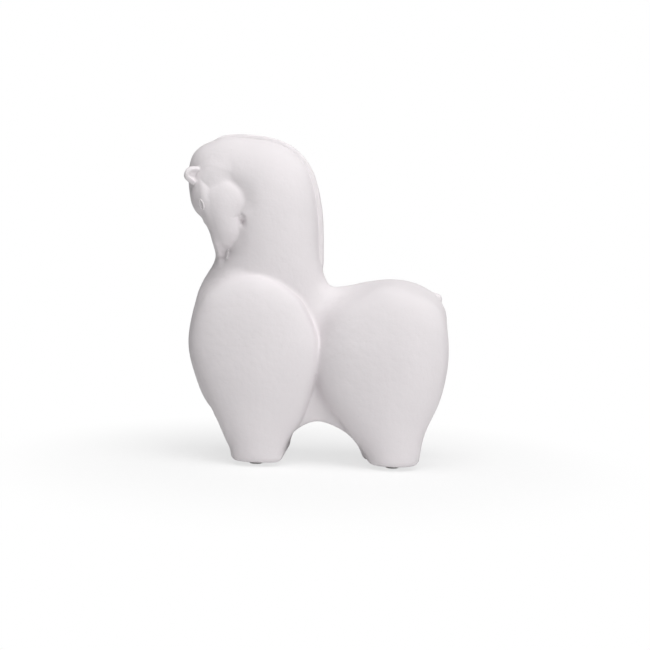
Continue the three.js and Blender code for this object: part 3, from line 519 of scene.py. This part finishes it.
def sanded_grain():
    """Fine sandy tooth of unglazed clay, the shallow waves of hand sanding and a few pinholes."""
    group, given, result = new_group("sanded_grain", [("Vector", "Vector")],
                                     [("Normal", "Vector"), ("Pinholes", "Float")])
    heights = []
    for scale, detail, share in (
            (GRAIN_SCALE, GRAIN_DETAIL, GRAIN_SHARE), (WAVE_SCALE, WAVE_DETAIL, WAVE_SHARE)):
        noise = add_node(group, "ShaderNodeTexNoise", Scale=scale, Detail=detail, Roughness=NOISE_ROUGHNESS)
        group.links.new(given.outputs["Vector"], noise.inputs["Vector"])
        heights.append(maths(group, "MULTIPLY", noise.outputs["Fac"], share))
    cells = add_node(group, "ShaderNodeTexVoronoi", Scale=PINHOLE_SCALE)
    group.links.new(given.outputs["Vector"], cells.inputs["Vector"])
    tint = add_node(group, "ShaderNodeSeparateColor")
    group.links.new(cells.outputs["Color"], tint.inputs["Color"])
    rare = maths(group, "GREATER_THAN", tint.outputs["Red"], PINHOLE_RARITY)
    hole = smooth_range(group, cells.outputs["Distance"], PINHOLE_RADIUS, PINHOLE_RADIUS * PINHOLE_CORE)
    pinholes = maths(group, "MULTIPLY", rare, hole)
    height = maths(group, "SUBTRACT", maths(group, "ADD", *heights), pinholes)
    bump = add_node(group, "ShaderNodeBump", Strength=1.0, Distance=GRAIN_HEIGHT)
    group.links.new(height, bump.inputs["Height"])
    group.links.new(bump.outputs["Normal"], result.inputs["Normal"])
    group.links.new(pinholes, result.inputs["Pinholes"])
    return group


def kiln_tone():
    """Slow drift between two near whites from the kiln, and faint specks burnt into the clay."""
    group, given, result = new_group("kiln_tone", [("Vector", "Vector"), ("Color", "Color")],
                                     [("Color", "Color")])
    drift = add_node(group, "ShaderNodeTexNoise", Scale=DRIFT_SCALE, Detail=DRIFT_DETAIL)
    cells = add_node(group, "ShaderNodeTexVoronoi", Scale=SPECK_SCALE)
    tint = add_node(group, "ShaderNodeSeparateColor")
    group.links.new(given.outputs["Vector"], drift.inputs["Vector"])
    group.links.new(given.outputs["Vector"], cells.inputs["Vector"])
    group.links.new(cells.outputs["Color"], tint.inputs["Color"])
    rare = maths(group, "GREATER_THAN", tint.outputs["Green"], SPECK_RARITY)
    speck = smooth_range(group, cells.outputs["Distance"], SPECK_RADIUS, 0.0, 0.0, SPECK_DARKNESS)
    dark = maths(group, "MULTIPLY", rare, speck)
    level = smooth_range(group, drift.outputs["Fac"], *DRIFT_RANGE, 1 - DRIFT_DEPTH, 1.0)
    level = maths(group, "SUBTRACT", level, dark)
    toned = add_node(group, "ShaderNodeVectorMath", operation="SCALE")
    group.links.new(given.outputs["Color"], toned.inputs[0])
    group.links.new(level, toned.inputs["Scale"])
    group.links.new(toned.outputs["Vector"], result.inputs["Color"])
    return group


grain_group, tone_group = sanded_grain(), kiln_tone()


def bisque(name):
    """Matt unglazed ceramic, sanded by hand."""
    material, tree, output = new_material(name)
    place = add_node(tree, "ShaderNodeTexCoord")
    grain = add_node(tree, "ShaderNodeGroup", node_tree=grain_group)
    tone = add_node(tree, "ShaderNodeGroup", node_tree=tone_group)
    tone.inputs["Color"].default_value = BISQUE
    for node in (grain, tone):
        tree.links.new(place.outputs["Object"], node.inputs["Vector"])
    shader = add_node(tree, "ShaderNodeBsdfPrincipled", Roughness=BISQUE_ROUGHNESS)
    shader.inputs["Specular IOR Level"].default_value = BISQUE_SPECULAR
    # The pinholes are pits in the bump, and their dark colour is painted shade inside the pits.
    painted_pit_shade = colour_mix(tree, maths(tree, "MULTIPLY", grain.outputs["Pinholes"], PINHOLE_SHADE),
                        tone.outputs["Color"], PINHOLE_SHADE_COLOUR)
    tree.links.new(painted_pit_shade, shader.inputs["Base Color"])
    tree.links.new(grain.outputs["Normal"], shader.inputs["Normal"])
    tree.links.new(shader.outputs[0], output.inputs["Surface"])
    return material


# Mane. A narrow strip of the same clay, rolled, pressed flat and laid along the crest with slip, from the
# poll to the withers, where it runs out. Its outer edge is the crest line of the silhouette.
MANE_WIDTH, MANE_DEPTH, MANE_FLATNESS, MANE_SPAN = 8.0, 9.0, 4.0, (0.0, 0.98)
MANE_RUN_OUT, MANE_SINK = 0.08, 0.8 * MANE_PROUD
MANE_MAP_STEP, MANE_CELL, MANE_ROOM = 0.5, 0.8, 2.0
crest_line = catmull_rom(crest_points, False)
along_crest = np.linspace(0, 1, len(crest_line))
in_mane = (along_crest >= MANE_SPAN[0]) & (along_crest <= MANE_SPAN[1])
mane_line, mane_share = crest_line[in_mane], along_crest[in_mane]
mane_progress = (mane_share - MANE_SPAN[0]) / (MANE_SPAN[1] - MANE_SPAN[0])
run_out = np.clip(1 - np.minimum(mane_progress, 1 - mane_progress) / MANE_RUN_OUT, 0, 1) ** 2
mane_top, mane_root = inwards(mane_line, MANE_SINK * run_out), inwards(mane_line, MANE_DEPTH)[::-4]
mane = Mass(np.vstack([mane_top, mane_root]), MANE_WIDTH, flatness=MANE_FLATNESS, step=MANE_MAP_STEP)

# How a distance is turned into a skin: a coarse mesh from a grid of cells, settled onto the distance.
SLOPE_REACH, LEAST_STEEP, BAND_CELLS = 0.15, 0.2, 3


def slope_at(distance, p):
    """Slope of a distance at points, by differences."""
    steps = np.eye(3) * SLOPE_REACH
    return np.stack([distance(*(p + s).T) - distance(*(p - s).T) for s in steps], 1) / (2 * SLOPE_REACH)


def settle(distance, p, rounds=3, furthest=0.6):
    """Points moved down the slope onto the skin."""
    for _ in range(rounds):
        slope = slope_at(distance, p)
        steep = np.maximum((slope ** 2).sum(1), LEAST_STEEP)
        move = -slope * (distance(*p.T) / steep)[:, None]
        length = np.linalg.norm(move, axis=1, keepdims=True)
        p = p + move * np.minimum(1, furthest / np.maximum(length, 1e-9))
    return p


def first_skin(distance, low, high, cell):
    """Quads of the surface where a distance is zero, from a grid of cells."""
    xs, ys, zs = (np.arange(a, b + cell, cell) for a, b in zip(low, high))
    values = distance(xs[:, None, None], ys[None, :, None], zs[None, None, :])
    band = cell * BAND_CELLS
    grid = openvdb.FloatGrid(float(band))
    grid.copyFromArray(np.clip(values, -band, band).astype(np.float32))
    points, quads = grid.convertToQuads(isovalue=0.0)
    return points.astype(float) * cell + np.array([xs[0], ys[0], zs[0]]), quads


def mesh_from(name, points, faces):
    """A smooth-shaded object from points in millimetres of the clay body's own frame."""
    mesh = bpy.data.meshes.new(name)
    placed = (np.asarray(points, float) + (SHIFT_X, 0, 0)) * MM
    mesh.from_pydata(placed.tolist(), [], [list(map(int, face)) for face in faces])
    mesh.update()
    mesh.shade_smooth()
    piece = bpy.data.objects.new(name, mesh)
    scene.collection.objects.link(piece)
    return piece


def seated_piece(name, distance, low, high, cell, node):
    """A luted clay piece from its own distance, in place of its CAD node."""
    spots, faces = first_skin(distance, low, high, cell)
    piece = mesh_from(name, settle(distance, spots, furthest=cell), faces)
    piece.data.materials.append(bisque("bisque_" + name))
    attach(piece, "root")
    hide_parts(node)


mane_low, mane_high = mane.outline.min(0) - MANE_ROOM, mane.outline.max(0) + MANE_ROOM
seated_piece("mane", mane.distance, (mane_low[0], -MANE_WIDTH, mane_low[1]),
             (mane_high[0], MANE_WIDTH, mane_high[1]), MANE_CELL, "mane_ridge")

# Ears. Two small leaves of the same clay, pinched between finger and thumb, hollowed on the outer, rear side
# and luted to the head above the eyes so that they point forwards and outwards.
EAR_LENGTH, EAR_WIDTH, EAR_THICKNESS = 10.5, 14.0, 7.0
EAR_ROOT, EAR_SPLAY, EAR_FILLET = (-90.5, 19.0, 215.8), math.radians(36), 1.4
EAR_MAP_STEP, EAR_CELL, EAR_MIDDLE, EAR_ROOM = 0.3, 0.45, 4.0, ((-14.0, -12.0, -10.0), (8.0, 12.0, 10.0))
EAR_LEAF = [(-0.6, 0.40), (0.0, 0.48), (0.40, 0.48), (0.75, 0.39), (0.97, 0.14), (1.0, -0.08), (0.85, -0.26),
            (0.50, -0.43), (0.12, -0.54), (-0.6, -0.50)]
EAR_HOLLOW = [(-0.50, 0.20), (0.05, 0.27), (0.45, 0.25), (0.72, 0.12), (0.75, -0.04), (0.52, -0.18),
              (0.18, -0.31), (-0.50, -0.34)]
ear_leaf, ear_hollow = (
    Mass([(u * EAR_LENGTH, v * EAR_WIDTH) for u, v in outline], EAR_THICKNESS, step=EAR_MAP_STEP)
    for outline in (EAR_LEAF, EAR_HOLLOW))


def ear_distance(x, y, z):
    """Distance to the skin of both ears."""
    forward, outward = EAR_ROOT[0] - x, np.abs(y) - EAR_ROOT[1]
    along = forward * math.cos(EAR_SPLAY) + outward * math.sin(EAR_SPLAY)
    across = outward * math.cos(EAR_SPLAY) - forward * math.sin(EAR_SPLAY)
    up = z - EAR_ROOT[2]
    leaf = ear_leaf.distance(along, across, up)
    return carve(leaf, -ear_hollow.distance(along, across - EAR_THICKNESS / 2, up), EAR_FILLET)


for side, word in ((-1, "left"), (1, "right")):
    ear_middle = (EAR_ROOT[0], side * (EAR_ROOT[1] + EAR_MIDDLE), EAR_ROOT[2])
    seated_piece("ear_of_the_" + word, lambda x, y, z, s=side: np.maximum(ear_distance(x, y, z), -s * y),
                 np.add(ear_middle, EAR_ROOM[0]), np.add(ear_middle, EAR_ROOM[1]), EAR_CELL, "ear_" + word)

# Tail. A short drop of the same clay, rolled in the palm and laid down the rump with slip, with a blunt tip
# that is thicker than its root.
TAIL_TOP, TAIL_TIP, TAIL_RADII = (82.5, 0.0, 132.0), (93.0, 0.0, 127.4), (3.0, 4.6)
TAIL_CELL, TAIL_ROOM = 0.5, 6.0


def tail_distance(x, y, z):
    """Distance to the skin of the tail."""
    way = np.subtract(TAIL_TIP, TAIL_TOP)
    from_top = [x - TAIL_TOP[0], y - TAIL_TOP[1], z - TAIL_TOP[2]]
    share = np.clip(sum(a * b for a, b in zip(from_top, way)) / (way @ way), 0, 1)
    off = np.sqrt(sum((a - share * b) ** 2 for a, b in zip(from_top, way)))
    return off - between(*TAIL_RADII, share)


seated_piece("tail_drop", tail_distance, np.minimum(TAIL_TOP, TAIL_TIP) - TAIL_ROOM,
             np.maximum(TAIL_TOP, TAIL_TIP) + TAIL_ROOM, TAIL_CELL, "tail_stub")

# Skin of the body. With the mane, ears and tail on, the slip at their roots is smoothed with a wet finger.
# The eyes are pressed and the nicks under the cheeks cut on both sides, and one curl of slip stays below the
# muzzle on the near side. A round vent in the belly lets the hollow breathe in the kiln.
SEAT_DROP, SEAT_FILLET = 0.35, 1.5
EYE_TOP, EYE_FOOT, EYE_HALF_WIDTH = (-87.0, 198.2), (-84.2, 189.2), 1.7
EYE_CORNERS, EYE_SOCKET, EYE_DENT = (0.0, 0.35), (0.2, 1.3), 0.55
LID_HEIGHT, LID_WIDTH, FRONT_LID, REAR_LID, LID_TURN = 0.55, 0.42, 0.4, 1.0, 3.0
NICK_LINE, NICK_WIDTH = ((-55.5, 187.2), (-59.5, 185.2), (-64.0, 184.6)), 1.0
NICK_DEPTH, NICK_FADES = 0.7, ((1, 0.8), (0.8, 0))
CURL_LINE, CURL_WIDTH, CURL_HEIGHT = ((-66.2, 159.6), (-67.2, 154.4)), 0.8, 1.1
MARK_FADE = (4.0, 10.0)
VENT_RADIUS, VENT_DEPTH, VENT_EDGE = 4.0, 20.0, 1.0
SKIN_CELL, SKIN_ROOM = 1.25, 4.0
HEAD_ZONE_X, HEAD_ZONE_Z = -45.0, 150.0
EYE_ZONE, PIT_ZONE, MARK_FROM = (4.0, 7.0), (6.0, 8.0), 10.0


def off_line(x, z, start, end):
    """Distance to a stretch of line in the side view, and the share of the way along it."""
    way = np.subtract(end, start)
    share = np.clip(((x - start[0]) * way[0] + (z - start[1]) * way[1]) / (way @ way), 0, 1)
    return np.hypot(x - start[0] - share * way[0], z - start[1] - share * way[1]), share


def tool_marks(x, y, z):
    """How far the skin is pressed in, in millimetres, or raised where it is negative."""
    way = np.subtract(EYE_FOOT, EYE_TOP)
    length = math.hypot(*way)
    down = ((x - EYE_TOP[0]) * way[0] + (z - EYE_TOP[1]) * way[1]) / length
    across = ((x - EYE_TOP[0]) * -way[1] + (z - EYE_TOP[1]) * way[0]) / length
    arc = 4 * down / length * (1 - down / length)
    from_lid = np.abs(across) - EYE_HALF_WIDTH * arc
    rear = between(FRONT_LID, REAR_LID, 0.5 + 0.5 * np.tanh(LID_TURN * across))
    lid = LID_HEIGHT * rear * np.exp(-(from_lid / LID_WIDTH) ** 2)
    pressed = eased(arc, *EYE_CORNERS) * (EYE_DENT * eased(-from_lid, *EYE_SOCKET) - lid)
    for start, end, fade in zip(NICK_LINE, NICK_LINE[1:], NICK_FADES):
        off, share = off_line(x, z, start, end)
        nick = NICK_DEPTH * between(*fade, share) * np.exp(-(off / NICK_WIDTH) ** 2)
        pressed = np.maximum(pressed, nick) + np.minimum(pressed, 0)
    off, share = off_line(x, z, *CURL_LINE)
    curl = CURL_HEIGHT * np.exp(-(off / CURL_WIDTH) ** 2) * (y < 0)
    return (pressed - curl) * eased(np.abs(y), *MARK_FADE)


def skin_distance(x, y, z):
    """Distance to the finished skin: the body with its marks, its vent and the swellings at the roots."""
    d = body_distance(x, y, z) + tool_marks(x, y, z)
    for piece in (mane.distance, ear_distance, tail_distance):
        d = blend(d, piece(x, y, z) + SEAT_DROP, SEAT_FILLET)
    vent = np.maximum(np.hypot(x - ARCH_X, y) - VENT_RADIUS, z - ARCH_TOP - VENT_DEPTH)
    return carve(d, -vent, VENT_EDGE)


def points_of(mesh):
    """A mesh's vertices as an array in millimetres of the clay body's own frame."""
    flat = np.empty(len(mesh.vertices) * 3)
    mesh.vertices.foreach_get("co", flat)
    return flat.reshape(-1, 3) / MM - (SHIFT_X, 0, 0)


def set_points(mesh, points):
    """The other way round: puts an array of points back into a mesh."""
    mesh.vertices.foreach_set("co", ((points + (SHIFT_X, 0, 0)) * MM).ravel())
    mesh.update()


def refine(mesh, where):
    """Halves the edges of the faces that a test of their middles picks."""
    flat = np.empty(len(mesh.polygons) * 3)
    mesh.polygons.foreach_get("center", flat)
    chosen = where(*(flat.reshape(-1, 3) / MM - (SHIFT_X, 0, 0)).T)
    bm = bmesh.new()
    bm.from_mesh(mesh)
    bm.faces.ensure_lookup_table()
    edges = {edge for index in np.flatnonzero(chosen) for edge in bm.faces[index].edges}
    bmesh.ops.subdivide_edges(bm, edges=list(edges), cuts=1, use_grid_fill=True)
    bm.to_mesh(mesh)
    bm.free()
    mesh.shade_smooth()


def round_head(x, y, z):
    """True round the head and the upper neck, where the skin is divided finer."""
    return (z > HEAD_ZONE_Z) & (x < HEAD_ZONE_X)


def round_marks(x, y, z):
    """True round the eyes and the pits, where it is divided once more."""
    zones = ((np.add(EYE_TOP, EYE_FOOT) / 2, EYE_ZONE), (PIT_PLACE, PIT_ZONE))
    near = [(np.abs(x - middle[0]) < reach[0]) & (np.abs(z - middle[1]) < reach[1])
            for middle, reach in zones]
    return (np.abs(y) > MARK_FROM) & np.logical_or(*near)


outlines = np.vstack([mass.outline for mass in (trunk, neck, breast, head, shoulder, haunch)])
half_width = max(SHOULDER_SPREAD + SHOULDER_DEPTH, HAUNCH_SPREAD + HAUNCH_DEPTH) / 2
low_corner = (outlines[:, 0].min() - SKIN_ROOM, -half_width - SKIN_ROOM, -SKIN_ROOM)
high_corner = (outlines[:, 0].max() + SKIN_ROOM, half_width + SKIN_ROOM, outlines[:, 1].max() + SKIN_ROOM)
points, quads = first_skin(skin_distance, low_corner, high_corner, SKIN_CELL)
ceramic_body = mesh_from("ceramic_body", settle(skin_distance, points), quads)
for finer in (round_head, round_marks):
    refine(ceramic_body.data, finer)
    set_points(ceramic_body.data, settle(skin_distance, points_of(ceramic_body.data)))
ceramic_body.data.materials.append(bisque("bisque_body"))
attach(ceramic_body, "root")
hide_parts("body_left_shell", "body_right_shell")

# Foot pads. Four soft, clear bumper discs stuck under the feet with their own adhesive: moulded rubber gone
# cloudy, with a rounded lower rim and a flat upper face that the foot stands on.
PAD_RADIUS, PAD_RIM, PAD_RIM_STEPS, PAD_SEGMENTS = 5.0, 0.8, 7, 48
PAD_RUBBER = (0.86, 0.85, 0.83, 1)
RUBBER_ROUGHNESS, RUBBER_IOR, RUBBER_CLEARNESS = 0.35, 1.49, 0.3


def clouded_rubber():
    """Clear bumper rubber gone cloudy: pale, waxy and a little see-through at its rim."""
    material, tree, output = new_material("clouded_rubber")
    place = add_node(tree, "ShaderNodeTexCoord")
    tone = add_node(tree, "ShaderNodeGroup", node_tree=tone_group)
    tone.inputs["Color"].default_value = PAD_RUBBER
    tree.links.new(place.outputs["Object"], tone.inputs["Vector"])
    shader = add_node(tree, "ShaderNodeBsdfPrincipled", Roughness=RUBBER_ROUGHNESS, IOR=RUBBER_IOR)
    shader.inputs["Transmission Weight"].default_value = RUBBER_CLEARNESS
    tree.links.new(tone.outputs["Color"], shader.inputs["Base Color"])
    tree.links.new(shader.outputs[0], output.inputs["Surface"])
    return material


def bumper_disc():
    """Points and faces of a disc, ring by ring from its upper face round its rim to its underside."""
    turns = np.linspace(0, 2 * math.pi, PAD_SEGMENTS, endpoint=False)
    corner = np.linspace(0, math.pi / 2, PAD_RIM_STEPS)
    profile = [(PAD_RADIUS, PAD_THICKNESS)]
    profile += [(PAD_RADIUS - PAD_RIM * (1 - math.cos(a)), PAD_RIM * (1 - math.sin(a))) for a in corner]
    spots = [(radius * math.cos(t), radius * math.sin(t), height)
             for radius, height in profile for t in turns]
    last = len(spots) - 1
    faces = [list(range(PAD_SEGMENTS)), list(range(last, last - PAD_SEGMENTS, -1))]
    for start in range(0, len(spots) - PAD_SEGMENTS, PAD_SEGMENTS):
        for i in range(PAD_SEGMENTS):
            j = (i + 1) % PAD_SEGMENTS
            faces.append([start + i, start + PAD_SEGMENTS + i, start + PAD_SEGMENTS + j, start + j])
    return np.array(spots), faces


pad_material = clouded_rubber()
disc_points, disc_faces = bumper_disc()
for end, foot_x, spread in (("front", FRONT_FOOT_X, SHOULDER_SPREAD), ("rear", REAR_FOOT_X, HAUNCH_SPREAD)):
    for side, word in ((-1, "left"), (1, "right")):
        placed = disc_points + (foot_x, side * spread / 2, 0.0)
        pad = mesh_from("bumper_" + end + "_" + word, placed, disc_faces)
        pad.data.polygons.foreach_set("use_smooth", [False, False] + [True] * (len(disc_faces) - 2))
        pad.data.materials.append(pad_material)
        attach(pad, "root")
        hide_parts("foot_pad_" + end + "_" + word)
